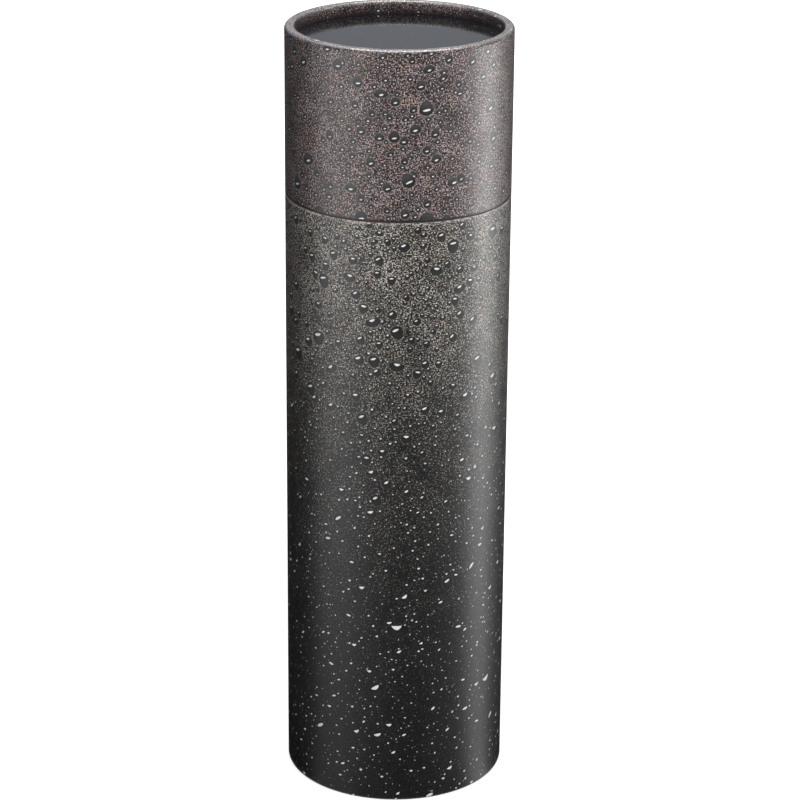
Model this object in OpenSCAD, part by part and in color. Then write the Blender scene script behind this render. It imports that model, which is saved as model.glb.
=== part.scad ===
// Cylindrical gift tube box. The base is a wound board tube in a printed paper wrap. A full-height
// inner tube is glued into it and stands up as a neck. The lift-off lid is a shorter tube of the same
// outer diameter that slips over the neck and sits on the base's edge. Both ends are closed by round
// boards set back from the rim, and both wraps are turned over the rim and down inside it.
// Millimetres. The origin is the centre of the underside, and +Z is up.

/* [Overall size] */
// Outer diameter over the printed wraps, the same on the base and the lid
tube_d = 92; // [60:1:140]
// Height of the base, from the surface it stands on to the edge under the lid
base_h = 254; // [120:1:400]
// Height of the lid, from its lower edge to the crest of its rim
lid_h = 68.5; // [40:0.5:140]
// Gap that shows as the seam between the lid and the base
seam_gap = 0.35; // [0.1:0.05:1]

/* [Board] */
// Thickness of the lid's wound board wall
lid_wall = 3.6; // [2.5:0.1:6]
// Thickness of the inner tube's wound board wall
neck_wall = 1.6; // [1:0.1:4]
// Thickness of the round board that closes the lid
lid_disc_t = 2; // [1:0.1:4]
// Thickness of the round board that closes the base
base_disc_t = 2; // [1:0.1:4]

/* [Paper] */
// Thickness of the printed wraps with their film
wrap_t = 0.25; // [0.15:0.05:0.4]
// Thickness of the lining inside the lid's wall
liner_t = 0.2; // [0.1:0.05:0.5]
// Thickness of the paper round the neck
neck_cover_t = 0.2; // [0.1:0.05:0.5]
// Thickness of the round papers on the end boards
facing_t = 0.25; // [0.1:0.05:0.5]
// How far the edge of a round paper stays inside the wall round it
facing_play = 0.3; // [0.1:0.05:1]
// How far the cut edge of a wrap stays back from the board's edge at the seam
wrap_setback = 0.1; // [0:0.05:0.5]

/* [Rims] */
// Depth from the lid's crest down to the facing on its top
lid_recess = 5.3; // [2:0.1:15]
// Height from the foot up to the facing under the base
base_recess = 2.8; // [2:0.1:15]
// Outer corner radius of both rims, over the wrap
rim_round = 1.6; // [0.8:0.1:2]
// Inner corner radius of both rims, over the wrap
rim_inner_round = 1; // [0.6:0.1:1]
// Length of the lid's wrap that is turned down inside the rim
lid_turn_in = 10; // [8:0.5:20]

/* [Neck fit] */
// Radial clearance between the neck's paper and the lid's lining
neck_slip = 0.3; // [0.15:0.05:1]
// Free height between the top of the neck and the paper inside the lid's top
neck_headroom = 10.7; // [3:0.1:25]
// How far the lid's lining stays up from its lower edge
liner_setback = 1.5; // [0:0.1:5]

/* [Hidden] */
$fn = 128;
// Overshoot of a cutting shape past the face that it cuts
cut = 1;

// Radii, from the outside inwards
wrap_r = tube_d / 2;
board_r = wrap_r - wrap_t;
lid_bore_r = board_r - lid_wall;
liner_r = lid_bore_r - liner_t;
neck_cover_r = liner_r - neck_slip;
neck_r = neck_cover_r - neck_cover_t;
bore_r = neck_r - neck_wall;

// Heights of the base, from the foot upwards
base_disc_z = base_recess + facing_t;
floor_z = base_disc_z + base_disc_t;

// Heights of the lid, from its lower edge upwards
lid_z = base_h + seam_gap;
lid_top_z = lid_z + lid_h;
lid_disc_top_z = lid_top_z - lid_recess - facing_t;
lid_disc_z = lid_disc_top_z - lid_disc_t;
ceiling_z = lid_disc_z - facing_t;
neck_top_z = ceiling_z - neck_headroom;

// Colours
board_colour = [0.74, 0.68, 0.57];
base_print_colour = [0.2, 0.19, 0.19];
lid_print_colour = [0.36, 0.33, 0.34];
facing_colour = [0.3, 0.32, 0.35];
neck_paper_colour = [0.07, 0.07, 0.075];
lining_colour = [0.85, 0.81, 0.73];

// Half section of a tube wall of height h whose upper end is rounded on both corners
module rounded_wall(r_in, r_out, h, round_in, round_out) {
    translate([r_in, 0])
        square([round_in, h - round_in]);
    translate([r_in + round_in, 0])
        square([r_out - round_out - r_in - round_in, h]);
    translate([r_out - round_out, 0])
        square([round_out, h - round_out]);
    translate([r_in + round_in, h - round_in])
        circle(r = round_in);
    translate([r_out - round_out, h - round_out])
        circle(r = round_out);
}

// Half section of a board wall under its wrap, with the wrapped end up
module board_section(r_in, h) {
    rounded_wall(r_in, board_r, h - wrap_t, rim_inner_round - wrap_t, rim_round - wrap_t);
}

// Half section of the wrap on that wall: up the outside, over the rim and down inside by turn_in
module wrap_section(r_in, h, turn_in) {
    difference() {
        rounded_wall(r_in - wrap_t, wrap_r, h, rim_inner_round, rim_round);
        board_section(r_in, h);
        translate([r_in - wrap_t - cut, -cut])
            square([wrap_t + cut + (board_r - r_in) / 2, h - turn_in + cut]);
        translate([board_r - cut, -cut])
            square([wrap_t + 2 * cut, wrap_setback + cut]);
    }
}

// Turns a half section into a ring that stands on z, with the wrapped end up
module ring_up(z) {
    translate([0, 0, z])
        rotate_extrude()
            children();
}

// The same with the wrapped end down, so that the section's lower end comes to z
module ring_down(z) {
    translate([0, 0, z])
        rotate_extrude()
            mirror([0, 1])
                children();
}

// Plain tube between two radii and two heights
module plain_tube(r_in, r_out, z_low, z_high) {
    difference() {
        translate([0, 0, z_low])
            cylinder(r = r_out, h = z_high - z_low);
        translate([0, 0, z_low - cut])
            cylinder(r = r_in, h = z_high - z_low + 2 * cut);
    }
}

// Flat disc of thickness t that lies on z
module round_sheet(r, t, z) {
    translate([0, 0, z])
        cylinder(r = r, h = t);
}

// Wound board tube of the base, rounded at the foot under the wrap
module base_tube() {
    color(board_colour)
        ring_down(base_h)
            board_section(neck_r, base_h);
}

// Printed wrap of the base, turned under the foot and up inside it as far as the inner tube
module base_wrap() {
    color(base_print_colour)
        ring_down(base_h)
            wrap_section(neck_r, base_h, floor_z);
}

// Board that closes the base, pressed in between the turned-up ends of the wrap
module base_disc() {
    color(board_colour)
        round_sheet(neck_r - wrap_t, base_disc_t, base_disc_z);
}

// Paper on the underside of the base
module base_disc_facing() {
    color(neck_paper_colour)
        round_sheet(neck_r - wrap_t - facing_play, facing_t, base_recess);
}

// Paper on the floor inside the tube
module floor_paper() {
    color(lining_colour)
        round_sheet(bore_r - facing_play, facing_t, floor_z);
}

// Inner tube: it stands on the end board, lines the base and rises out of it as the neck
module neck_tube() {
    color(lining_colour)
        plain_tube(bore_r, neck_r, floor_z, neck_top_z);
}

// Paper round the part of the neck that the lid slips over
module neck_cover() {
    color(neck_paper_colour)
        plain_tube(neck_r, neck_cover_r, base_h, neck_top_z);
}

// Wound board tube of the lid, rounded at the crest under the wrap
module lid_tube() {
    color(board_colour)
        ring_up(lid_z)
            board_section(lid_bore_r, lid_h);
}

// Printed wrap of the lid, turned over the rim and down inside it
module lid_wrap() {
    color(lid_print_colour)
        ring_up(lid_z)
            wrap_section(lid_bore_r, lid_h, lid_turn_in);
}

// Board that closes the lid, pressed in between the turned-down ends of the wrap
module lid_disc() {
    color(board_colour)
        round_sheet(lid_bore_r - wrap_t, lid_disc_t, lid_disc_z);
}

// Glossy paper on top of the lid, down in the recess
module lid_disc_facing() {
    color(facing_colour)
        round_sheet(lid_bore_r - wrap_t - facing_play, facing_t, lid_disc_top_z);
}

// Paper under the lid's board, seen from inside
module lid_ceiling_paper() {
    color(lining_colour)
        round_sheet(lid_bore_r - wrap_t - facing_play, facing_t, ceiling_z);
}

// Lining of the lid's wall, from the turned-in wrap down to just above the lower edge
module lid_liner() {
    color(lining_colour)
        plain_tube(liner_r, lid_bore_r, lid_z + liner_setback, lid_top_z - lid_turn_in);
}

base_tube();
base_wrap();
base_disc();
base_disc_facing();
floor_paper();
neck_tube();
neck_cover();
lid_tube();
lid_wrap();
lid_disc();
lid_disc_facing();
lid_ceiling_paper();
lid_liner();
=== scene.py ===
"""Looks of a cylindrical gift tube box: printed wraps, papers, boards and the studio round them."""

import math
from typing import NamedTuple

import bmesh
import bpy
from bpy.props import FloatProperty, FloatVectorProperty, IntProperty, PointerProperty
from mathutils import Matrix, Vector


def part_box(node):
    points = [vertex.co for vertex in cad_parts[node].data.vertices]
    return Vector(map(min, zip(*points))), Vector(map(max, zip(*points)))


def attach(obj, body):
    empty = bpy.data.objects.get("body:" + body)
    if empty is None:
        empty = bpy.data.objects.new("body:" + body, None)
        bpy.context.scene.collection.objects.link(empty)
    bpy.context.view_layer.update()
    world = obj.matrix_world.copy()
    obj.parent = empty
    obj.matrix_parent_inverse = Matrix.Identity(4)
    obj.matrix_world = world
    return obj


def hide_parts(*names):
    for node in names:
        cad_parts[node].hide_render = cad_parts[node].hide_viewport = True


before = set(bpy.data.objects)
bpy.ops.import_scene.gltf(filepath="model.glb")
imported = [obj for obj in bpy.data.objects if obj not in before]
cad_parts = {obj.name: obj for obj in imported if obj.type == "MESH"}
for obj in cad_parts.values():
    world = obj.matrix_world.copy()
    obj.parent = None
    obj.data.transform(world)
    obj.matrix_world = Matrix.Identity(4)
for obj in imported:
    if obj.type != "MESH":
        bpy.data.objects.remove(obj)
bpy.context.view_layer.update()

bl_info = {
    "name": "Gift Tube Box",
    "version": (1, 0, 0),
    "blender": (4, 5, 0),
    "location": "View3D > Sidebar > Gift Tube",
    "description": "Dresses a shoulder-neck gift tube in droplet-print wraps, papers and a studio",
    "category": "Object",
}

PRINT_MAP = "Print"
SMOOTH_ANGLE = math.radians(35)
FULL_TURN = 2 * math.pi


def edge_radius(node):
    """Outer radius of a round CAD node."""
    low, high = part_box(node)
    return (high.x - low.x) / 2


def foot_of(node):
    """Height of a CAD node's lowest point."""
    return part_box(node)[0].z


def top_of(node):
    """Height of a CAD node's highest point."""
    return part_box(node)[1].z


# The frame's own sizes, in metres
TUBE_R = edge_radius("lid_wrap")
LID_BORE_R = edge_radius("lid_liner")
NECK_R = edge_radius("neck_tube")
SEAM_LOW = top_of("base_wrap")
SEAM_HIGH = foot_of("lid_wrap")
LID_TOP = top_of("lid_wrap")
FLOOR_Z = foot_of("neck_tube")


class TubeSizes(bpy.types.PropertyGroup):
    """Sizes that the papers and their print take"""

    paper: FloatProperty(
        name="Paper", description="Thickness of a printed wrap", default=0.00017, unit="LENGTH")
    lap_step: FloatProperty(
        name="Lap step", description="How far a paper's lap stands proud", default=0.00006, unit="LENGTH")
    lap_width: FloatProperty(
        name="Lap width", description="Width of the glued lap at the back", default=0.009, unit="LENGTH")
    rim_outer: FloatProperty(
        name="Outer rim radius", description="Rounding of a rim's outer corner", default=0.0016,
        unit="LENGTH")
    rim_inner: FloatProperty(
        name="Inner rim radius", description="Rounding of a rim's inner corner", default=0.001,
        unit="LENGTH")
    turn_in: FloatProperty(
        name="Turn-in", description="Length of the lid's wrap inside the rim", default=0.0095,
        unit="LENGTH")
    panel_sag: FloatProperty(
        name="Panel sag", description="How far the top panel sinks at its centre", default=0.00006,
        unit="LENGTH")
    segments: IntProperty(
        name="Segments", description="Steps round the tube", default=256, min=64, max=512)


def colour_property(name, description, value):
    """A colour that the sidebar shows as a swatch."""
    return FloatVectorProperty(
        name=name, description=description, default=value, subtype="COLOR", min=0, max=1)


class TubeColours(bpy.types.PropertyGroup):
    """Colours of the print, papers and boards"""

    lid_light: colour_property("Lid mist", "Light grain of the lid's print", (0.545, 0.45, 0.46))
    lid_dark: colour_property("Lid shade", "Dark grain of the lid's print", (0.019, 0.0112, 0.0118))
    lid_warm: colour_property("Lid warm tone", "Brownish patches on the lid", (0.505, 0.40, 0.365))
    lid_drop: colour_property("Lid drop", "Body of a drop on the lid", (0.022, 0.022, 0.023))
    base_light: colour_property("Base mist", "Light grain of the base's print", (0.74, 0.70, 0.63))
    base_dark: colour_property("Base shade", "Dark grain of the base's print", (0.0125, 0.0120, 0.0123))
    base_warm: colour_property("Base warm tone", "Brownish patches on the base", (0.64, 0.56, 0.48))
    base_drop: colour_property("Base drop", "Body of a drop on the base", (0.0120, 0.0120, 0.0124))
    outline: colour_property("Drop outline", "Dark edge of a printed drop", (0.005, 0.005, 0.005))
    glint: colour_property("Glint", "Highlight of a printed drop", (0.95, 0.95, 0.94))
    facing: colour_property("Top panel", "Gloss paper on top of the lid", (0.009, 0.0105, 0.0125))
    dust: colour_property("Dust", "Specks on the top panel", (0.3, 0.32, 0.33))
    board: colour_property("Board", "Wound grey board", (0.2, 0.185, 0.165))
    lining: colour_property("Lining", "Cream paper inside", (0.72, 0.66, 0.54))
    black_paper: colour_property("Black paper", "Neck and foot paper", (0.014, 0.014, 0.015))
    paper_white: colour_property("Paper core", "Cut edges and rubbed folds", (0.66, 0.59, 0.56))


class StudioSettings(bpy.types.PropertyGroup):
    """Camera, lamps and floor"""

    distance: FloatProperty(
        name="Distance", description="How far in front the camera stands", default=1.13836, unit="LENGTH")
    height: FloatProperty(
        name="Height", description="Height of the camera", default=0.58634, unit="LENGTH")
    tilt: FloatProperty(
        name="Tilt", description="How far the camera looks down", default=0.35586, unit="ROTATION")
    roll: FloatProperty(
        name="Roll", description="Turn about the line of sight", default=0.00793, unit="ROTATION")
    aside: FloatProperty(
        name="Aside", description="Turn of the camera to the right", default=0.0012, unit="ROTATION")
    lens: FloatProperty(
        name="Lens", description="Focal length on a 36 mm sensor", default=131.171, unit="CAMERA")
    fill: FloatProperty(
        name="Fill", description="Strength of the room's soft light", default=0.03, subtype="FACTOR")


class Wire:
    """An output of a shader node. Arithmetic on it adds Math nodes to the same tree."""

    def __init__(self, shader, socket):
        self.shader = shader
        self.socket = socket

    def out(self, name):
        """Another output of the same node."""
        return Wire(self.shader, self.socket.node.outputs[name])

    def __add__(self, other):
        return self.shader.math("ADD", self, other)

    def __radd__(self, other):
        return self.shader.math("ADD", other, self)

    def __sub__(self, other):
        return self.shader.math("SUBTRACT", self, other)

    def __rsub__(self, other):
        return self.shader.math("SUBTRACT", other, self)

    def __mul__(self, other):
        return self.shader.math("MULTIPLY", self, other)

    def __rmul__(self, other):
        return self.shader.math("MULTIPLY", other, self)

    def __truediv__(self, other):
        return self.shader.math("DIVIDE", self, other)

    def __rtruediv__(self, other):
        return self.shader.math("DIVIDE", other, self)

    def __pow__(self, other):
        return self.shader.math("POWER", self, other)


class Grain(NamedTuple):
    """Noise of one size"""

    size: float  # size of its lumps, in metres
    detail: float = 2.0  # number of finer layers in it
    rough: float = 0.5  # strength of the finer layers


class Shader:
    """A node tree under construction."""

    MIX_SOCKETS = {"factor": 0, "a": 6, "b": 7, "result": 2}

    def __init__(self, tree):
        self.tree = tree
        self.tree.nodes.clear()

    def node(self, kind, settings=None, inputs=None, output=0):
        """Adds one node with its settings and inputs, and returns one of its outputs."""
        made = self.tree.nodes.new(kind)
        for key, value in (settings or {}).items():
            if key == "stops":
                self.set_stops(made.color_ramp, value)
            else:
                setattr(made, key, value)
        for key, value in (inputs or {}).items():
            if isinstance(value, Wire):
                self.tree.links.new(value.socket, made.inputs[key])
            else:
                made.inputs[key].default_value = value
        return Wire(self, made.outputs[output]) if made.outputs else made

    @staticmethod
    def set_stops(ramp, stops):
        """Gives a colour ramp its grey stops, as (place, brightness) pairs."""
        while len(ramp.elements) < len(stops):
            ramp.elements.new(1)
        for element, (place, level) in zip(ramp.elements, stops):
            element.position = place
            element.color = (level, level, level, 1)

    def math(self, operation, *values):
        """A Math node on one, two or three values."""
        return self.node("ShaderNodeMath", {"operation": operation}, dict(enumerate(values)))

    def vector(self, operation, *values):
        """A Vector Math node that gives a vector."""
        return self.node("ShaderNodeVectorMath", {"operation": operation}, dict(enumerate(values)))

    def length(self, x, y):
        """Length of the line from the origin to a place."""
        return self.node(
            "ShaderNodeVectorMath", {"operation": "LENGTH"}, {0: self.join(x, y)}, output="Value")

    def step(self, value, low, high):
        """0 at low, 1 at high and smooth between, whichever of the two is larger."""
        return self.node("ShaderNodeMapRange", {"interpolation_type": "SMOOTHSTEP"},
                         {"Value": value, "From Min": low, "From Max": high})

    def mix(self, factor, a, b, blend="MIX"):
        """Colour a where the factor is 0 and colour b where it is 1."""
        at = self.MIX_SOCKETS
        return self.node("ShaderNodeMix", {"data_type": "RGBA", "blend_type": blend},
                         {at["factor"]: factor, at["a"]: rgba(a), at["b"]: rgba(b)}, at["result"])

    def noise(self, where, grain, dimensions="3D"):
        """Noise of one grain."""
        return self.node("ShaderNodeTexNoise", {"noise_dimensions": dimensions},
                         {"Vector": where, "Scale": 1 / grain.size, "Detail": grain.detail,
                          "Roughness": grain.rough})

    def ramp(self, value, stops):
        """Brightness that follows a value from 0 to 1, as its (place, brightness) stops say."""
        ramp = self.node("ShaderNodeValToRGB", {"stops": stops}, {0: value})
        return self.node("ShaderNodeRGBToBW", inputs={0: ramp})

    def split(self, vector):
        """The X, Y and Z of a vector."""
        parts = self.node("ShaderNodeSeparateXYZ", inputs={0: vector})
        return parts, parts.out("Y"), parts.out("Z")

    def join(self, x, y):
        """A flat vector from its two parts."""
        return self.node("ShaderNodeCombineXYZ", inputs={0: x, 1: y, 2: 0.0})

    def turned(self, vector, angle):
        """A vector turned about Z."""
        return self.node("ShaderNodeVectorRotate", {"rotation_type": "Z_AXIS"},
                         {"Vector": vector, "Angle": angle})

    def bump(self, height, distance):
        """A normal that follows a height from 0 to 1, as deep as distance."""
        return self.node(
            "ShaderNodeBump", inputs={"Height": height, "Distance": distance, "Strength": 1.0})


def rgba(colour):
    """A colour property or triple as the four numbers that a socket takes; a wire as it is."""
    return colour if isinstance(colour, Wire) else (*colour, 1.0)


def scaled(colour, by):
    """A lighter or darker copy of a colour."""
    return [min(part * by, 1) for part in colour]


def new_material(name):
    """An empty material and the shader that fills it."""
    material = bpy.data.materials.new(name)
    material.use_nodes = True
    return material, Shader(material.node_tree)


def finish_material(shader, settings, inputs):
    """Closes a material with a Principled shader; settings are numbers, inputs may vary."""
    surface = shader.node("ShaderNodeBsdfPrincipled", inputs={**settings, **inputs})
    shader.node("ShaderNodeOutputMaterial", inputs={"Surface": surface})


class Scatter(NamedTuple):
    """One scatter of printed drops, with one drop at most in each cell"""

    cell: float  # width of a cell, in metres
    misty: float  # share of the cells that hold a drop where the mist is full
    dark: float  # the same where the print is dark
    small: float  # radius of the smallest drop, in cells
    large: float  # radius of the largest drop, in cells
    shift: float  # moves the layout
    skew: float  # turns the layout, in radians
    thick: float  # half thickness of the glint, in drop radii
    length: float  # half length of the glint, in drop radii
    strong: float  # strength of the body and the glint


# From the finest drops to the largest
LID_SCATTERS = (
    Scatter(0.0027, 0.52, 0.03, 0.20, 0.29, 3.1, 0.5, 0.36, 0.06, 0.8),
    Scatter(0.0045, 0.72, 0.03, 0.21, 0.32, 11.7, 1.1, 0.30, 0.13, 1.0),
    Scatter(0.0083, 0.80, 0.03, 0.17, 0.28, 23.3, 0.3, 0.25, 0.22, 1.0),
    Scatter(0.0165, 0.50, 0.03, 0.13, 0.19, 41.9, 0.8, 0.21, 0.27, 1.0),
)
BASE_SCATTERS = (
    Scatter(0.0026, 0.66, 0.40, 0.19, 0.29, 5.9, 0.6, 0.38, 0.08, 0.72),
    Scatter(0.0043, 0.88, 0.40, 0.20, 0.31, 17.3, 1.2, 0.33, 0.15, 1.0),
    Scatter(0.0085, 0.82, 0.36, 0.17, 0.27, 29.1, 0.4, 0.26, 0.24, 1.0),
    Scatter(0.0170, 0.42, 0.36, 0.14, 0.20, 47.7, 0.9, 0.25, 0.28, 1.0),
)


class PrintLook(NamedTuple):
    """How one print is drawn"""

    scatters: tuple
    sparse: float  # density of the grain at which its mist starts
    glint_height: float  # height of the glint over a drop's centre, in radii
    egg: float  # how much narrower a drop is at its top than at its foot
    lift: float  # brightness of the glow inside a drop, over its body
    halo: float  # strength of the pale ring round a drop
    smile: float  # how much a glint's ends turn up
    swing: float  # how much the slopes of the glints differ, in radians


LID_LOOK = PrintLook(
    LID_SCATTERS, sparse=0.43, glint_height=-0.28, egg=0.2, lift=3.0, halo=0.15, smile=0.6, swing=0.5)
BASE_LOOK = PrintLook(
    BASE_SCATTERS, sparse=0.45, glint_height=0.42, egg=-0.2, lift=2.2, halo=0.11, smile=0.8, swing=1.0)


class PrintColours(NamedTuple):
    """Colours of one print"""

    light: tuple
    dark: tuple
    warm: tuple
    drop: tuple
    outline: tuple
    glint: tuple


# How the drops of both prints lie in their cells: how far a centre may stray, how much of its room a drop
# may fill, and the second part of a scatter's shift as a share of the first
CELL_RANDOMNESS = 0.85
ROOM_SHARE = 0.95
SHIFT_SLOPE = 0.37

# Factors that make a fresh random number between 0 and 1 out of a cell's own
FRESH_FORM = 7.3
FRESH_WEDGE = 5.7

# Shape of a drop: its width and height in radii, how much wider and lower a squat one is, how rare squat ones
# are, and how far the long axes lean and differ, in radians
DROP_WIDTH, SQUAT_WIDENING = 0.9, 0.75
DROP_HEIGHT, SQUAT_LOWERING = 1.06, 0.2
SQUAT_RARITY = 4
DROP_LEAN, LEAN_SPREAD = 0.2, 0.9

# Where the parts of a drop fade in, each from the first distance to the second, in radii
BODY_EDGE = (1.0, 0.84)
RING_EDGE = (0.62, 0.9)
HALO_EDGE = (1.3, 1.02)
GLINT_LIMIT = (0.97, 0.82)

# The dark ring is weaker towards the top of a drop, and the glow lies across from the glint
RING_STRENGTH, RING_LOSS = 0.8, 0.45
RING_LOSS_SPAN = (-0.6, 0.8)
GLOW_SPAN = (0.5, -0.8)
GLOW_LEAST, GLOW_BY_SIZE = 0.3, 0.7

# Shape of a glint: its slope in radians, how much wider one end may be, how its length varies, how it tapers
# and bends, how its thickness varies, the share of it that is its core, and its brightness
GLINT_SLOPE = 0.28
WEDGE_SPREAD = 1.6
SPAN_LEAST, SPAN_BY_SIZE = 0.7, 0.6
GLINT_TAPER = 0.4
FLAT_FORM = 0.2
BEND_IN_DARK = 1.3
THICK_LEAST, THICK_BY_FORM = 0.75, 0.5
THICK_IN_DARK, THINNER_IN_MIST = 1.2, 0.35
GLINT_CORE = 0.5
SHINE_LEAST, SHINE_BY_SIZE = 0.8, 0.3


class Drops(NamedTuple):
    """What one scatter has at each point of the print: its nearest drop"""

    offset: Wire  # from the drop's centre, in cells
    radius: Wire  # in cells
    here: Wire  # strength of the drop, 0 in an empty cell
    turn: Wire  # random number for its turn
    size: Wire  # random number for its size
    form: Wire  # random number for its form


def lay_drops(shader, where, scatter, level):
    """Lays out one scatter. Level is the mist, with the lid's painted shade in it, which decides how many
    cells hold a drop.
    """
    place = shader.turned(where, scatter.skew)
    place = shader.vector("MULTIPLY", place, (1 / scatter.cell,) * 3)
    place = shader.vector("ADD", place, (scatter.shift, scatter.shift * SHIFT_SLOPE, 0))
    cells = {"Vector": place, "Scale": 1.0, "Randomness": CELL_RANDOMNESS}
    centre = shader.node("ShaderNodeTexVoronoi", {"voronoi_dimensions": "2D"}, cells, "Position")
    room = shader.node(
        "ShaderNodeTexVoronoi", {"voronoi_dimensions": "2D", "feature": "N_SPHERE_RADIUS"}, cells,
        "Radius")
    draw = shader.node("ShaderNodeSeparateColor", inputs={0: centre.out("Color")})
    pick, turn, size = draw, draw.out("Green"), draw.out("Blue")

    share = scatter.dark + level * (scatter.misty - scatter.dark)
    here = shader.math("LESS_THAN", pick, share) * scatter.strong
    radius = scatter.small + (scatter.large - scatter.small) * size
    radius = shader.math("MINIMUM", radius, room * ROOM_SHARE)
    offset = shader.turned(shader.vector("SUBTRACT", place, centre), -scatter.skew)
    form = shader.math("FRACT", turn * FRESH_FORM)
    return Drops(offset, radius, here, turn, size, form)


def drop_shape(shader, drops, look):
    """Distance from a drop's centre, which is 1 at its edge, and height over the centre, in radii."""
    lean = (drops.turn - 0.5) * LEAN_SPREAD - DROP_LEAN
    along, across, _ = shader.split(shader.turned(drops.offset, lean))
    squat = drops.form ** SQUAT_RARITY
    tall = across / drops.radius
    width = (squat * SQUAT_WIDENING + DROP_WIDTH) / (1.0 + tall * look.egg)
    height = DROP_HEIGHT - squat * SQUAT_LOWERING
    return shader.length(along / width, across / height) / drops.radius, tall


def drop_glint(shader, drops, scatter, look, level):
    """The glint of a drop: a short tapered stroke, more bent and thicker where the print is dark."""
    slope = (drops.turn - 0.5) * look.swing - GLINT_SLOPE
    x, y, _ = shader.split(shader.turned(drops.offset, slope))
    fresh = shader.math("FRACT", drops.size * FRESH_WEDGE)
    wedge = 1.0 + x / drops.radius * (fresh - 0.5) * WEDGE_SPREAD
    x = shader.math("ABSOLUTE", x / drops.radius)
    span = (drops.size * SPAN_BY_SIZE + SPAN_LEAST) * scatter.length
    taper = 1.0 + (x / span) ** 2 * GLINT_TAPER
    bend = (drops.form - FLAT_FORM) * (BEND_IN_DARK - level) * look.smile
    y = (y / drops.radius - look.glint_height - bend * x * x) * taper
    miss = shader.length(shader.math("MAXIMUM", x - span, 0.0), y)
    thick = (drops.form * THICK_BY_FORM + THICK_LEAST) * (THICK_IN_DARK - level * THINNER_IN_MIST)
    thick = thick * scatter.thick * wedge
    return shader.step(miss, thick, thick * GLINT_CORE)


def add_drops(shader, ground, where, scatter, look, colours, level):
    """Lays one scatter of drops over the ground colour and returns the new colour."""
    drops = lay_drops(shader, where, scatter, level)
    reach, tall = drop_shape(shader, drops, look)
    ring = RING_STRENGTH - shader.step(tall, *RING_LOSS_SPAN) * RING_LOSS
    ring = shader.step(reach, *RING_EDGE) * ring
    halo = shader.step(reach, *HALO_EDGE) * drops.here * look.halo * level
    towards_glint = tall * math.copysign(1, look.glint_height)
    glow = shader.step(towards_glint, *GLOW_SPAN) * (GLOW_LEAST + drops.size * GLOW_BY_SIZE)
    glint = drop_glint(shader, drops, scatter, look, level) * shader.step(reach, *GLINT_LIMIT)
    shine = glint * drops.here * (SHINE_LEAST + drops.size * SHINE_BY_SIZE)

    filled = shader.mix(glow, colours.drop, scaled(colours.drop, look.lift))
    filled = shader.mix(ring, filled, colours.outline)
    ground = shader.mix(halo, ground, colours.light)
    ground = shader.mix(shader.step(reach, *BODY_EDGE) * drops.here, ground, filled)
    return shader.mix(shine, ground, colours.glint)


class SheetMarks(NamedTuple):
    """Mist, which on the lid also holds painted shade, wear, which on the lid's crest is also painted light,
    and polish along a sheet, each as pairs of a height in metres and a level
    """

    mist: list
    rub_and_light: list
    shine: list


def sheet_ramp(shader, height, stops):
    """Brightness along a sheet, from pairs of a height in metres and a level."""
    low, high = stops[0][0], stops[-1][0]
    places = [((at - low) / (high - low), level) for at, level in stops]
    return shader.ramp((height - low) / (high - low), places)


# Grains of the print and of its film
PRINT_WORMS = Grain(0.0006, 0.0)
PRINT_SPECKS = Grain(0.0012, 1.0)
MIST_PATCHES = Grain(0.012, 3.0, 0.6)
WARM_PATCHES = Grain(0.009, 2.0, 0.6)
TINT_PATCHES = Grain(0.006, 1.0)
FOLD_FRAY = Grain(0.0007, 2.0, 0.7)
FOLD_PATCHES = Grain(0.012, 2.0, 0.6)
FILM_WAVES = Grain(0.0025)
HANDLED_PATCHES = Grain(0.03, 3.0, 0.6)

# The grain's stretch along the sheet, the shares in its density, and the density and contrast of full mist
GRAIN_STRETCH = (1.0, 1.2, 1.0)
WORM_SHARE, SPECK_SHARE, PATCH_SHARE, LEVEL_SHARE = 0.6, 0.4, 0.26, 0.1
MIST_FULL, MIST_CONTRAST = 0.73, 1.3
WARM_SPAN = (0.42, 0.62)
TINT_STRENGTH = 0.05

# Wear on a fold or edge, which on the lid's crest is also painted light: the shares in it and where it shows
FRAY_SHARE, FOLD_PATCH_SHARE = 0.8, 0.2
WORN_SPAN = (0.49, 0.56)
WORN_BUMP = 6.0

# Film over the print, with a coat where a fold is polished, which is speckled with the worms
FILM_SHINE = {"IOR": 1.5, "Specular IOR Level": 0.3, "Coat IOR": 2.7, "Coat Roughness": 0.3}
POLISH_LEAST, POLISH_BY_WORMS = 0.45, 0.55
POLISH_SPAN = (0.42, 0.58)
FILM_ROUGH, HANDLED_ROUGH, WORN_ROUGH = 0.27, 0.1, 0.1
FILM_DEPTH = 0.00001


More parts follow.
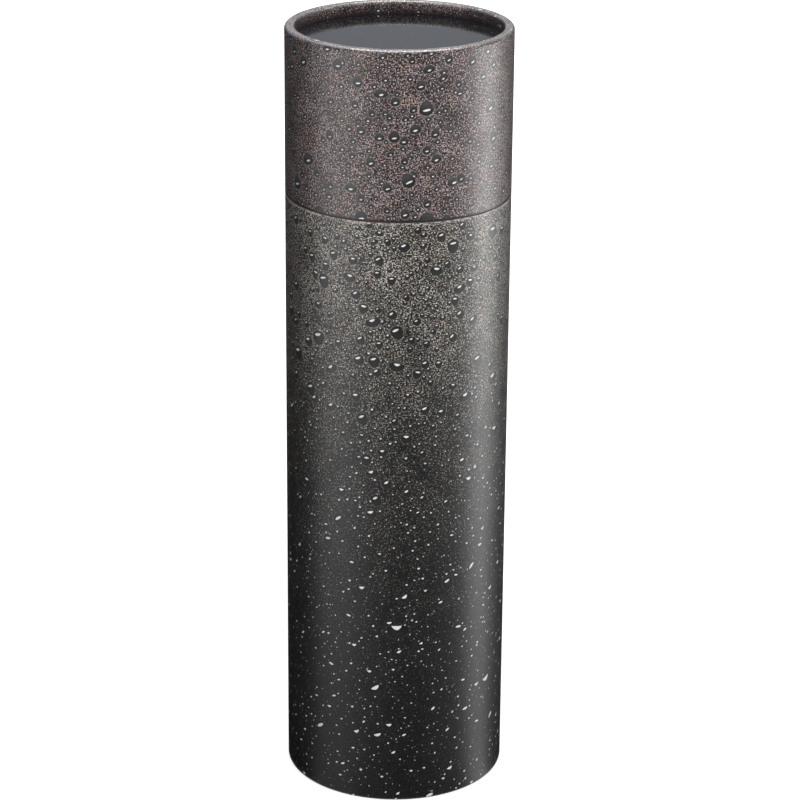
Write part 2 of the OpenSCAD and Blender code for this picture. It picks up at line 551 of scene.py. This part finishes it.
def droplet_print(name, colours, look, marks):
    """Misty print of drops under a satin film. Marks say how it changes along the sheet, painted shade and
    painted light included.
    """
    material, shader = new_material(name)
    where = shader.node("ShaderNodeUVMap", {"uv_map": PRINT_MAP})
    _, height, _ = shader.split(where)
    # Level is the mist. On the lid it also holds the painted shadow at the lower edge and the painted shade
    # inside the rim, which darken the print there
    level = sheet_ramp(shader, height, marks.mist)

    fine = shader.vector("MULTIPLY", where, GRAIN_STRETCH)
    worms = shader.noise(fine, PRINT_WORMS, "2D")
    specks = shader.noise(fine, PRINT_SPECKS, "2D")
    patches = (shader.noise(where, MIST_PATCHES, "2D") - 0.5) * PATCH_SHARE
    density = worms * WORM_SHARE + specks * SPECK_SHARE + patches + (level - 1.0) * LEVEL_SHARE
    mist = shader.step(density, look.sparse, MIST_FULL) ** MIST_CONTRAST
    warm = shader.step(shader.noise(where, WARM_PATCHES, "2D"), *WARM_SPAN)
    tone = shader.mix(warm, colours.light, colours.warm)
    tint = shader.noise(where, TINT_PATCHES, "2D").out("Color")
    tone = shader.mix(TINT_STRENGTH, tone, tint, "OVERLAY")
    lit = shader.mix(level, colours.dark, tone)
    ground = shader.mix(mist, colours.dark, lit)
    for scatter in look.scatters:
        ground = add_drops(shader, ground, where, scatter, look, colours, level)

    fray = shader.noise(where, FOLD_FRAY, "2D") * FRAY_SHARE
    fray = fray + shader.noise(where, FOLD_PATCHES, "2D") * FOLD_PATCH_SHARE
    # Wear lightens the print towards the paper core on folds and edges; on the lid's crest it is also painted
    # light
    rub_and_light = sheet_ramp(shader, height, marks.rub_and_light)
    wear_and_light = rub_and_light * shader.step(fray, *WORN_SPAN)
    ground = shader.mix(wear_and_light, ground, bpy.context.scene.tube_colours.paper_white)

    speckle = POLISH_LEAST + shader.step(worms, *POLISH_SPAN) * POLISH_BY_WORMS
    waves = shader.noise(where, FILM_WAVES, "2D")
    handled = shader.noise(where, HANDLED_PATCHES, "2D")
    finish_material(
        shader,
        FILM_SHINE,
        {"Base Color": ground,
         "Coat Weight": sheet_ramp(shader, height, marks.shine) * speckle,
         "Roughness": FILM_ROUGH + handled * HANDLED_ROUGH + wear_and_light * WORN_ROUGH,
         "Normal": shader.bump(waves + worms * rub_and_light * WORN_BUMP, FILM_DEPTH)},
    )
    return material


# Uncoated paper: its grains, whose fibres lie lengthwise, where they lighten it, its shades as shares of its
# colour, and how much the fibres roughen it
PAPER_FIBRES = Grain(0.0006, 4.0, 0.7)
PAPER_CLOUD = Grain(0.012, 3.0, 0.55)
PAPER_FLECKS = Grain(0.0011, 1.0)
FIBRE_STRETCH = (1.0, 1.0, 0.35)
FIBRE_SHARE, PAPER_CLOUD_SHARE = 0.6, 0.4
PAPER_SPAN = (0.3, 0.7)
FLECK_SPAN = (0.72, 0.78)
PAPER_SHADE, PAPER_LIGHT, FLECK_SHADE = 0.86, 1.07, 0.55
PAPER_SHINE = {"IOR": 1.45, "Specular IOR Level": 0.3}
FIBRE_ROUGH = 0.1


def fibre_paper(name, colour, fleck, depth, rough):
    """Uncoated paper: soft fibres, small flecks and a faint cloudiness."""
    material, shader = new_material(name)
    where = shader.node("ShaderNodeTexCoord", output="Object")
    stretched = shader.vector("MULTIPLY", where, FIBRE_STRETCH)
    fibres = shader.noise(stretched, PAPER_FIBRES)
    cloud = shader.noise(where, PAPER_CLOUD)
    shade = shader.step(fibres * FIBRE_SHARE + cloud * PAPER_CLOUD_SHARE, *PAPER_SPAN)
    tone = shader.mix(shade, scaled(colour, PAPER_SHADE), scaled(colour, PAPER_LIGHT))
    spots = shader.step(shader.noise(where, PAPER_FLECKS), *FLECK_SPAN)
    finish_material(
        shader,
        PAPER_SHINE,
        {"Base Color": shader.mix(spots * fleck, tone, scaled(colour, FLECK_SHADE)),
         "Roughness": rough + fibres * FIBRE_ROUGH,
         "Normal": shader.bump(fibres, depth)},
    )
    return material


# Wound board: its grains, the thickness of one ply, how far the plies wander, in radians of a ply's wave, and
# half the width of the butt line, as a share of a turn
BOARD_PULP = Grain(0.0008, 4.0, 0.7)
BOARD_CLOUD = Grain(0.015, 3.0, 0.6)
PLY_WANDER = Grain(0.003)
PLY = 0.00045
WANDER = 2.0
BUTT_SPAN = (0.0045, 0.0015)

# Where the board's grains lighten it, its shades as shares of its colour, its roughness and its relief
PULP_SHARE, BOARD_CLOUD_SHARE, PLY_SHARE, BOARD_LEAST = 0.5, 0.3, 0.06, 0.1
BOARD_SPAN = (0.3, 0.75)
BOARD_SHADE, BOARD_LIGHT, BUTT_SHADE = 0.72, 1.12, 0.5
BUTT_STRENGTH = 0.5
BOARD_SHINE = {"IOR": 1.45, "Specular IOR Level": 0.25}
BOARD_ROUGH, PULP_ROUGH = 0.82, 0.12
PULP_BUMP, PLY_BUMP, BUTT_BUMP = 0.6, 0.1, 0.6
BOARD_DEPTH = 0.00006


def wound_board(name, colour, turn):
    """Spiral-wound board: plies that show as rings on a cut edge, and a butt line that climbs by turn."""
    material, shader = new_material(name)
    where = shader.node("ShaderNodeTexCoord", output="Object")
    x, y, z = shader.split(where)
    wander = shader.noise(where, PLY_WANDER) * WANDER
    plies = shader.math("SINE", shader.length(x, y) * (FULL_TURN / PLY) + wander)
    climb = z / turn - shader.math("ARCTAN2", x, y) / FULL_TURN
    butt = shader.math("ABSOLUTE", shader.math("FRACT", climb) - 0.5)
    line = shader.step(butt, *BUTT_SPAN)
    pulp = shader.noise(where, BOARD_PULP)
    cloud = shader.noise(where, BOARD_CLOUD)
    light = pulp * PULP_SHARE + cloud * BOARD_CLOUD_SHARE + plies * PLY_SHARE + BOARD_LEAST
    shade = shader.step(light, *BOARD_SPAN)
    tone = shader.mix(shade, scaled(colour, BOARD_SHADE), scaled(colour, BOARD_LIGHT))
    relief = pulp * PULP_BUMP + plies * PLY_BUMP - line * BUTT_BUMP
    finish_material(
        shader,
        BOARD_SHINE,
        {"Base Color": shader.mix(line * BUTT_STRENGTH, tone, scaled(colour, BUTT_SHADE)),
         "Roughness": BOARD_ROUGH + pulp * PULP_ROUGH,
         "Normal": shader.bump(relief, BOARD_DEPTH)},
    )
    return material


# Gloss panel: its grains, its shades as shares of its colour, its roughness and its relief
PANEL_WAVES = Grain(0.012)
PANEL_FILM = Grain(0.0008, 2.0, 0.6)
PANEL_RUBBING = Grain(0.02, 4.0, 0.65)
PANEL_DUST = Grain(0.0016, 1.0)
DUST_SPAN = (0.74, 0.8)
DUST_STRENGTH = 0.25
PANEL_SHADE, PANEL_LIGHT = 0.85, 1.2
PANEL_SHINE = {"IOR": 1.5}
PANEL_ROUGH, RUBBED_ROUGH, DUST_ROUGH = 0.05, 0.07, 0.3
WAVE_BUMP, FILM_BUMP = 0.9, 0.1
PANEL_DEPTH = 0.00004


def gloss_panel(name, colour, dust_colour):
    """Dark paper under a gloss film: faint waves, dust specks and rubbed patches."""
    material, shader = new_material(name)
    where = shader.node("ShaderNodeTexCoord", output="Object")
    waves = shader.noise(where, PANEL_WAVES)
    film = shader.noise(where, PANEL_FILM)
    rubbed = shader.noise(where, PANEL_RUBBING)
    dust = shader.step(shader.noise(where, PANEL_DUST), *DUST_SPAN)
    tone = shader.mix(rubbed, scaled(colour, PANEL_SHADE), scaled(colour, PANEL_LIGHT))
    finish_material(
        shader,
        PANEL_SHINE,
        {"Base Color": shader.mix(dust * DUST_STRENGTH, tone, dust_colour),
         "Roughness": PANEL_ROUGH + rubbed * RUBBED_ROUGH + dust * DUST_ROUGH,
         "Normal": shader.bump(waves * WAVE_BUMP + film * FILM_BUMP, PANEL_DEPTH)},
    )
    return material


def arc(centre, radius, start, end, steps):
    """Points of a round corner in (radius, height), from one angle to the other, in degrees."""
    angles = (math.radians(start + (end - start) * i / steps) for i in range(steps + 1))
    return [(centre[0] + radius * math.cos(a), centre[1] + radius * math.sin(a)) for a in angles]


def turned_sheet(name, profile, segments):
    """A surface of revolution: a circle at the profile's first point, extruded through the others."""
    (radius, height), *others = profile
    bpy.ops.object.select_all(action="DESELECT")
    bpy.ops.mesh.primitive_circle_add(vertices=segments, radius=radius, location=(0, 0, height))
    piece = bpy.context.object
    piece.name = piece.data.name = name
    bpy.ops.object.mode_set(mode="EDIT")
    bpy.ops.mesh.select_all(action="SELECT")
    for next_radius, next_height in others:
        rise = (0, 0, next_height - height)
        bpy.ops.mesh.extrude_region_move(TRANSFORM_OT_translate={"value": rise})
        share = next_radius / radius
        bpy.ops.transform.resize(value=(share, share, 1), center_override=(0, 0, 0))
        radius, height = next_radius, next_height
    bpy.ops.mesh.select_all(action="SELECT")
    bpy.ops.mesh.normals_make_consistent(inside=False)
    bpy.ops.object.mode_set(mode="OBJECT")
    bpy.ops.object.transform_apply()
    return piece


def select_where(piece, parts, wanted):
    """In edit mode, selects the vertices or faces whose middle passes the test."""
    bpy.ops.mesh.select_all(action="DESELECT")
    mesh = bmesh.from_edit_mesh(piece.data)
    for part in getattr(mesh, parts):
        middle = part.co if parts == "verts" else part.calc_center_median()
        part.select_set(wanted(middle))
    mesh.select_flush_mode()
    bmesh.update_edit_mesh(piece.data)


# The lap's step is a short slope, this many times as wide as it is high
LAP_SLOPE = 1.3


def lay_lap(piece, width, step):
    """Raises the strip where the sheet's end laps over its start, at the back on the -X side."""
    cut = step * LAP_SLOPE
    bpy.ops.object.mode_set(mode="EDIT")
    select_where(piece, "faces", lambda p: p.y > 0 and abs(p.x) < width)
    bpy.ops.mesh.bisect(plane_co=(cut, 0, 0), plane_no=(1, 0, 0))
    select_where(piece, "verts", lambda p: p.y > 0 and -width < p.x < cut / 2)
    bpy.ops.transform.shrink_fatten(value=step)
    bpy.ops.object.mode_set(mode="OBJECT")


def give_thickness(piece, thickness, face):
    """Thickens a sheet behind its printed face. The back and the cut edges show bare paper."""
    core = bpy.data.materials.get("Paper core") or fibre_paper(
        "Paper core", bpy.context.scene.tube_colours.paper_white, fleck=0.3, depth=0.00001, rough=0.8)
    piece.data.materials.append(face)
    piece.data.materials.append(core)
    bpy.ops.object.modifier_add(type="SOLIDIFY")
    modifier = piece.modifiers[-1]
    modifier.thickness = thickness
    modifier.offset = -1
    modifier.use_even_offset = True
    modifier.material_offset = 1
    modifier.material_offset_rim = 1
    bpy.ops.object.modifier_apply(modifier=modifier.name)
    bpy.ops.object.shade_smooth_by_angle(angle=SMOOTH_ANGLE)


def nearest_run(profile, point):
    """Length along the profile from its first point to the place nearest to the point."""
    best, run, found = math.inf, 0.0, 0.0
    for a, b in zip(profile, profile[1:]):
        a, b = Vector(a), Vector(b)
        length = (b - a).length
        t = max(0.0, min(1.0, (point - a).dot(b - a) / length**2))
        miss = (point - a.lerp(b, t)).length
        if miss < best:
            best, found = miss, run + t * length
        run += length
    return found


# Decimals of a metre that tell places on a profile apart, and how near the back, in radians, a point takes
# the side of its own face
PLACE_DECIMALS = 5
BACK_ANGLE = 1e-4


def map_print(piece, profile, upwards):
    """UV map in metres: round the tube from the front, and along the sheet from its seam edge."""
    sign = 1 if upwards else -1
    mesh = piece.data
    found = {}
    runs = []
    for vertex in mesh.vertices:
        place = Vector((vertex.co.xy.length, vertex.co.z))
        key = (round(place.x, PLACE_DECIMALS), round(place.y, PLACE_DECIMALS))
        if key not in found:
            found[key] = nearest_run(profile, place)
        runs.append(found[key])
    layer = mesh.uv_layers.new(name=PRINT_MAP)
    for face in mesh.polygons:
        for loop in face.loop_indices:
            vertex = mesh.vertices[mesh.loops[loop].vertex_index]
            angle = math.atan2(vertex.co.x, -vertex.co.y)
            if math.pi - abs(angle) < BACK_ANGLE:
                angle = math.copysign(math.pi, face.center.x)
            layer.data[loop].uv = (TUBE_R * angle, profile[0][1] + sign * runs[vertex.index])


def settle(piece, body, node):
    """Puts a finished piece on its body in the CAD node's stead."""
    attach(piece, body)
    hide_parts(node)


def printed_wrap(name, profile, sizes, face, upwards):
    """A wrap from its profile: turned, lapped at the back, thickened and mapped for its print."""
    piece = turned_sheet(name, profile, sizes.segments)
    lay_lap(piece, sizes.lap_width, sizes.lap_step)
    give_thickness(piece, sizes.paper, face)
    map_print(piece, profile, upwards)
    return piece


def past(place, pairs):
    """Pairs of a height and a level, from pairs of millimetres past a place and a level."""
    return [(place + distance / 1000, level) for distance, level in pairs]


# Steps of the rims' outer and inner corners, and the height of a ring that keeps the lid's long faces short
OUTER_STEPS = 10
INNER_STEPS = 8
LID_RING = 0.02

# Length of sheet from the height of the lid's top to the middle of the rim's crest
CREST_RUN = 0.0016

# Marks on the lid's sheet, in millimetres past its lower edge or past the middle of the crest: a dark line at
# the edge that is painted shadow, mist that fades to painted shade inside the rim, wear that is also painted
# light on the crest, and polish on the two folds
# Painted shadow: the print goes dark just above the lid's lower edge, where the lid meets the base
LID_EDGE_SHADOW = ((0, 0.0), (0.4, 0.0), (0.8, 1.0))
# Painted shade: the print fades to dark down the inside of the rim
CREST_MIST_AND_SHADE = ((0, 1.0), (3.6, 0.75), (6.4, 0.1))
# Wear and painted light: the crest and its folds are painted paler, partly standing in for light from above
CREST_WEAR_AND_LIGHT = ((-2.2, 0.0), (-1.0, 0.6), (1.8, 0.6), (3.2, 0.0))
CREST_SHINE = (
    (-2.7, 0.0), (-1.9, 1.0), (-1.0, 1.0), (-0.5, 0.3), (0.4, 0.3), (0.9, 0.9), (1.6, 0.9), (2.8, 0.0))

# Marks on the base's sheet: mist at heights in metres, a worn line just under the edge, in millimetres past
# it, and no polish
BASE_MIST = (
    (0, 0.05), (0.07, 0.1), (0.11, 0.19), (0.155, 0.36), (0.19, 0.66), (0.22, 0.9), (SEAM_LOW, 1.0))
BASE_EDGE_RUB = ((-1.2, 0.0), (-0.6, 1.0), (0, 1.0))
BASE_SHINE = ((0, 0.0), (SEAM_LOW, 0.0))


class GIFT_TUBE_OT_lid_wrap(bpy.types.Operator):
    """Printed wrap of the lid, turned over the rim and down inside it"""

    bl_idname = "gift_tube.lid_wrap"
    bl_label = "Lid wrap"

    def execute(self, context):
        sizes, colours = context.scene.tube_sizes, context.scene.tube_colours
        outer, top = TUBE_R - sizes.lap_step, LID_TOP - sizes.lap_step
        inner = LID_BORE_R - (TUBE_R - edge_radius("lid_tube")) + sizes.lap_step
        outside, inside = sizes.rim_outer, sizes.rim_inner
        profile = [(outer, SEAM_HIGH), (outer, SEAM_HIGH + LID_RING)]
        profile += arc((outer - outside, top - outside), outside, 0, 90, OUTER_STEPS)
        profile += arc((inner + inside, top - inside), inside, 90, 180, INNER_STEPS)
        profile += [(inner, LID_TOP - sizes.turn_in)]
        print_colours = PrintColours(
            colours.lid_light, colours.lid_dark, colours.lid_warm, colours.lid_drop, colours.outline,
            colours.glint)
        crest = LID_TOP + CREST_RUN
        # The marks paint a shadow at the lid's lower edge, shade inside the rim and light on the crest
        marks = SheetMarks(
            past(SEAM_HIGH, LID_EDGE_SHADOW) + past(crest, CREST_MIST_AND_SHADE), past(crest, CREST_WEAR_AND_LIGHT),
            past(crest, CREST_SHINE))
        face = droplet_print("Misty droplet print", print_colours, LID_LOOK, marks)
        piece = printed_wrap("printed_lid_wrap", profile, sizes, face, upwards=True)
        settle(piece, "lid", "lid_wrap")
        return {"FINISHED"}


class GIFT_TUBE_OT_base_wrap(bpy.types.Operator):
    """Printed wrap of the base, turned under the foot and up inside it"""

    bl_idname = "gift_tube.base_wrap"
    bl_label = "Base wrap"

    def execute(self, context):
        sizes, colours = context.scene.tube_sizes, context.scene.tube_colours
        outer, foot = TUBE_R - sizes.lap_step, sizes.lap_step
        inner = NECK_R - (TUBE_R - edge_radius("base_tube")) + sizes.lap_step
        outside, inside = sizes.rim_outer, sizes.rim_inner
        profile = [(outer, SEAM_LOW), (outer, SEAM_LOW / 2)]
        profile += arc((outer - outside, foot + outside), outside, 0, -90, OUTER_STEPS)
        profile += arc((inner + inside, foot + inside), inside, -90, -180, INNER_STEPS)
        profile += [(inner, FLOOR_Z)]
        print_colours = PrintColours(
            colours.base_light, colours.base_dark, colours.base_warm, colours.base_drop, colours.outline,
            colours.glint)
        marks = SheetMarks(BASE_MIST, past(SEAM_LOW, BASE_EDGE_RUB), BASE_SHINE)
        face = droplet_print("Dark droplet print", print_colours, BASE_LOOK, marks)
        piece = printed_wrap("printed_base_wrap", profile, sizes, face, upwards=False)
        settle(piece, "base", "base_wrap")
        return {"FINISHED"}


# The panel's edge rounding as a share of its thickness, with its steps, and the rings in which it sags:
# width as a share of the radius, and depth as a share of the whole sag
PANEL_ROUNDING = 0.5
PANEL_EDGE_STEPS = 3
PANEL_RINGS = ((0.2, 0.4), (0.3, 0.4), (0.4, 0.2))


class GIFT_TUBE_OT_top_panel(bpy.types.Operator):
    """Gloss paper on the board that closes the lid"""

    bl_idname = "gift_tube.top_panel"
    bl_label = "Top panel"

    def execute(self, context):
        sizes, colours = context.scene.tube_sizes, context.scene.tube_colours
        low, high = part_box("lid_disc_facing")
        bpy.ops.object.select_all(action="DESELECT")
        bpy.ops.mesh.primitive_circle_add(
            vertices=sizes.segments, radius=high.x, location=(0, 0, low.z), fill_type="NGON")
        piece = context.object
        piece.name = piece.data.name = "gloss_top_panel"
        bpy.ops.object.mode_set(mode="EDIT")
        rise = (0, 0, high.z - low.z)
        bpy.ops.mesh.extrude_region_move(TRANSFORM_OT_translate={"value": rise})
        rounding = (high.z - low.z) * PANEL_ROUNDING
        near_top = high.z - rounding / 2
        select_where(piece, "faces", lambda p: p.z > near_top and p.xy.length < high.x / 2)
        bpy.ops.mesh.inset(thickness=rounding, depth=0)
        for width, depth in PANEL_RINGS:
            bpy.ops.mesh.inset(thickness=high.x * width, depth=-sizes.panel_sag * depth)
        edge = high.x - rounding / 2
        select_where(piece, "verts", lambda p: p.z > near_top and p.xy.length > edge)
        bpy.ops.mesh.bevel(offset=rounding, segments=PANEL_EDGE_STEPS)
        bpy.ops.mesh.select_all(action="SELECT")
        bpy.ops.mesh.normals_make_consistent(inside=False)
        bpy.ops.object.mode_set(mode="OBJECT")
        bpy.ops.object.transform_apply()
        bpy.ops.object.shade_smooth_by_angle(angle=SMOOTH_ANGLE)
        piece.data.materials.append(gloss_panel("Slate gloss paper", colours.facing, colours.dust))
        settle(piece, "lid", "lid_disc_facing")
        return {"FINISHED"}


def finish_nodes(names, material):
    """Gives CAD nodes that are shown their material."""
    for name in names:
        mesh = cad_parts[name].data
        mesh.materials.clear()
        mesh.materials.append(material)


class GIFT_TUBE_OT_boards(bpy.types.Operator):
    """Wound tubes and end boards, as raw grey board"""

    bl_idname = "gift_tube.boards"
    bl_label = "Boards"

    def execute(self, context):
        board = wound_board("Wound grey board", context.scene.tube_colours.board, turn=0.12)
        finish_nodes(("base_tube", "base_disc", "lid_tube", "lid_disc"), board)
        return {"FINISHED"}


class GIFT_TUBE_OT_linings(bpy.types.Operator):
    """Inner tube and lining papers"""

    bl_idname = "gift_tube.linings"
    bl_label = "Linings"

    def execute(self, context):
        cream = context.scene.tube_colours.lining
        finish_nodes(("neck_tube",), wound_board("Pale wound board", scaled(cream, 0.95), turn=0.13))
        lining = fibre_paper("Cream lining paper", cream, fleck=0.35, depth=0.00003, rough=0.8)
        finish_nodes(("floor_paper", "lid_ceiling_paper", "lid_liner"), lining)
        return {"FINISHED"}


class GIFT_TUBE_OT_black_papers(bpy.types.Operator):
    """Black papers round the neck and under the foot"""

    bl_idname = "gift_tube.black_papers"
    bl_label = "Black papers"

    def execute(self, context):
        colour = context.scene.tube_colours.black_paper
        black = fibre_paper("Black paper", colour, fleck=0.5, depth=0.00003, rough=0.65)
        finish_nodes(("base_disc_facing", "neck_cover"), black)
        return {"FINISHED"}


class Lamp(NamedTuple):
    """A soft area lamp that looks at the tube"""

    name: str
    side: float  # degrees to the right of the camera's side
    away: float  # distance from the axis, in metres
    height: float  # height of its middle, in metres
    width: float  # width, in metres
    tall: float  # height of its face, in metres
    radiance: float  # brightness of its face, where 1 is paper white


LAMPS = (
    Lamp("Key box", 14, 1.5, 0.9, 1.0, 1.0, 2.1),
    Lamp("Back box", 180, 1.5, 0.9, 1.0, 1.0, 1.8),
    Lamp("Top box", 90, 0.02, 0.95, 0.4, 0.4, 1.3),
)
LAMP_AIM = Vector((0, 0, 0.16))

# The floor: its own glow near the tube, and how much brighter it gets over a span in metres
FLOOR_R = 6.0
FLOOR_GREY = (0.5, 0.5, 0.5, 1)
FLOOR_GLOW, FLOOR_GAIN = 0.8, 0.25
FLOOR_SPAN = (0.06, 0.3)

# Brightness that reflections see round the tube, against degrees to the right of the camera's side
TENT = (
    (-180, 0.03), (-135, 0.03), (-118, 0.04), (-104, 0.12), (-94, 0.5), (-80, 2.7), (-66, 3.5), (-50, 3.8),
    (-34, 1.9), (0, 0.4), (30, 0.5), (46, 1.2), (64, 1.5), (76, 3.2), (86, 7.8), (98, 8.8), (108, 5.8),
    (116, 2.2), (130, 0.35), (150, 0.05), (180, 0.03),
)
TENT_R = 0.9
TENT_TOP = 1.2
TENT_FOOT = 0.0004
TENT_SKY = (0.43, 0.452, 0.5)
TENT_SKY_SPAN = (0.3, 0.5)

# Near the tube the tent's floor has the same pattern spread wider, and is dimmer, less so on the right
BEND_FALL, BEND_START = 3.0, 1.8
NEAR_GLOW, NEAR_GAIN = 0.12, 0.045
NEAR_SPAN = (0.55, 0.75)
AWAY_GAIN = 1.2

ROOF_R = 0.39
ROOF_Z = 1.05
ROOF_GLOW = (3.8, 3.8, 3.8)
STUDIO_STEPS = 96
ROOF_STEPS = 64
SENSOR_WIDTH = 36


def stand_at(side, away, height):
    """A place on a circle round the tube, at an angle from the camera's side."""
    angle = math.radians(side)
    return Vector((away * math.sin(angle), -away * math.cos(angle), height))


def seen_directly(shader):
    """1 for rays that show the background itself: camera, glossy and transmission rays."""
    path = shader.node("ShaderNodeLightPath", output="Is Camera Ray")
    glossy = shader.math("MAXIMUM", path, path.out("Is Glossy Ray"))
    return shader.math("MAXIMUM", glossy, path.out("Is Transmission Ray"))


class GIFT_TUBE_OT_studio(bpy.types.Operator):
    """White floor and room, soft lamps, screens and the camera"""

    bl_idname = "gift_tube.studio"
    bl_label = "Studio"

    def execute(self, context):
        self.make_room(context)
        self.make_floor()
        for lamp in LAMPS:
            self.make_lamp(lamp)
        self.make_tent()
        self.make_roof()
        self.make_camera(context)
        context.scene.view_settings.view_transform = "Standard"
        return {"FINISHED"}

    def make_room(self, context):
        world = bpy.data.worlds.new("Studio room")
        world.use_nodes = True
        context.scene.world = world
        shader = Shader(world.node_tree)
        fill = context.scene.tube_studio.fill
        light = fill + seen_directly(shader) * (1.0 - fill)
        room = shader.node("ShaderNodeBackground", inputs={"Color": light, "Strength": 1.0})
        shader.node("ShaderNodeOutputWorld", inputs={"Surface": room})

    @staticmethod
    def round_screen(name, radius, height, steps):
        """A flat disc that lies across the tube's axis."""
        bpy.ops.object.select_all(action="DESELECT")
        bpy.ops.mesh.primitive_circle_add(
            vertices=steps, radius=radius, location=(0, 0, height), fill_type="NGON")
        screen = bpy.context.object
        screen.name = name
        return screen

    def make_floor(self):
        floor = self.round_screen("studio_floor", FLOOR_R, 0, STUDIO_STEPS)
        material, shader = new_material("White floor")
        matt = shader.node("ShaderNodeBsdfDiffuse", inputs={"Color": FLOOR_GREY})
        x, y, _ = shader.split(shader.node("ShaderNodeTexCoord", output="Object"))
        glow = FLOOR_GLOW + shader.step(shader.length(x, y), *FLOOR_SPAN) * FLOOR_GAIN
        lift = shader.node(
            "ShaderNodeEmission", inputs={"Color": seen_directly(shader) * glow, "Strength": 1.0})
        both = shader.node("ShaderNodeAddShader", inputs={0: matt, 1: lift})
        shader.node("ShaderNodeOutputMaterial", inputs={"Surface": both})
        floor.data.materials.append(material)

    def make_lamp(self, lamp):
        place = stand_at(lamp.side, lamp.away, lamp.height)
        bpy.ops.object.light_add(type="AREA", location=place)
        light = bpy.context.object
        light.name = lamp.name
        light.data.shape = "RECTANGLE"
        light.data.size = lamp.width
        light.data.size_y = lamp.tall
        light.data.energy = lamp.radiance * math.pi * lamp.width * lamp.tall * math.pi
        light.rotation_euler = (LAMP_AIM - place).to_track_quat("-Z", "Y").to_euler()
        light.visible_glossy = False

    def make_tent(self):
        profile = [(TUBE_R + TENT_FOOT, TENT_FOOT), (TENT_R, TENT_FOOT), (TENT_R, TENT_TOP)]
        tent = turned_sheet("reflection_tent", profile, STUDIO_STEPS)
        material, shader = new_material("Tent")
        x, y, z = shader.split(shader.node("ShaderNodeTexCoord", output="Object"))
        away = shader.length(x, y)
        bend = 1.0 + TUBE_R / (away * BEND_FALL - TUBE_R * BEND_START)
        around = shader.math("ARCTAN2", x, 0.0 - y) / FULL_TURN * bend + 0.5
        peak = max(level for _, level in TENT)
        stops = [(side / 360 + 0.5, level / peak) for side, level in TENT]
        near = NEAR_GLOW + shader.step(around, *NEAR_SPAN) * NEAR_GAIN
        sides = shader.ramp(around, stops) * peak * (near + (1.0 - near) * away * AWAY_GAIN)
        glow = shader.mix(shader.step(z, *TENT_SKY_SPAN), sides, TENT_SKY)
        self.light_only_reflections(tent, material, shader, glow)

    def make_roof(self):
        roof = self.round_screen("reflection_roof", ROOF_R, ROOF_Z, ROOF_STEPS)
        material, shader = new_material("Roof")
        self.light_only_reflections(roof, material, shader, ROOF_GLOW)

    @staticmethod
    def light_only_reflections(screen, material, shader, glow):
        """Makes a screen glow for glossy rays alone."""
        surface = shader.node("ShaderNodeEmission", inputs={"Color": rgba(glow), "Strength": 1.0})
        shader.node("ShaderNodeOutputMaterial", inputs={"Surface": surface})
        screen.data.materials.append(material)
        screen.visible_camera = False
        screen.visible_diffuse = False
        screen.visible_transmission = False
        screen.visible_shadow = False

    def make_camera(self, context):
        studio = context.scene.tube_studio
        bpy.ops.object.camera_add()
        camera = bpy.context.object
        camera.name = "Photo camera"
        camera.data.lens = studio.lens
        camera.data.sensor_width = SENSOR_WIDTH
        camera.matrix_world = (
            Matrix.Translation((0, -studio.distance, studio.height))
            @ Matrix.Rotation(-studio.aside, 4, "Z")
            @ Matrix.Rotation(math.pi / 2 - studio.tilt, 4, "X")
            @ Matrix.Rotation(studio.roll, 4, "Z"))
        context.scene.camera = camera


OPERATORS = (
    GIFT_TUBE_OT_base_wrap,
    GIFT_TUBE_OT_lid_wrap,
    GIFT_TUBE_OT_top_panel,
    GIFT_TUBE_OT_boards,
    GIFT_TUBE_OT_linings,
    GIFT_TUBE_OT_black_papers,
    GIFT_TUBE_OT_studio,
)
SETTINGS = {"tube_sizes": TubeSizes, "tube_colours": TubeColours, "tube_studio": StudioSettings}


class GIFT_TUBE_PT_sidebar(bpy.types.Panel):
    """Lists the pieces of the gift tube"""

    bl_label = "Gift Tube"
    bl_idname = "GIFT_TUBE_PT_sidebar"
    bl_space_type = "VIEW_3D"
    bl_region_type = "UI"
    bl_category = "Gift Tube"

    def draw(self, context):
        for operator in OPERATORS:
            self.layout.operator(operator.bl_idname)
        for group in SETTINGS:
            settings = getattr(context.scene, group)
            for name in settings.__annotations__:
                self.layout.prop(settings, name)


CLASSES = (*SETTINGS.values(), *OPERATORS, GIFT_TUBE_PT_sidebar)


def register():
    """Adds the classes and their settings."""
    for made in CLASSES:
        bpy.utils.register_class(made)
    for name, group in SETTINGS.items():
        setattr(bpy.types.Scene, name, PointerProperty(type=group))


def unregister():
    """Takes them away again."""
    for name in SETTINGS:
        delattr(bpy.types.Scene, name)
    for made in reversed(CLASSES):
        bpy.utils.unregister_class(made)


def main():
    """Builds every piece and the studio."""
    register()
    for operator in OPERATORS:
        group, name = operator.bl_idname.split(".")
        getattr(getattr(bpy.ops, group), name)()


if __name__ == "__main__":
    main()
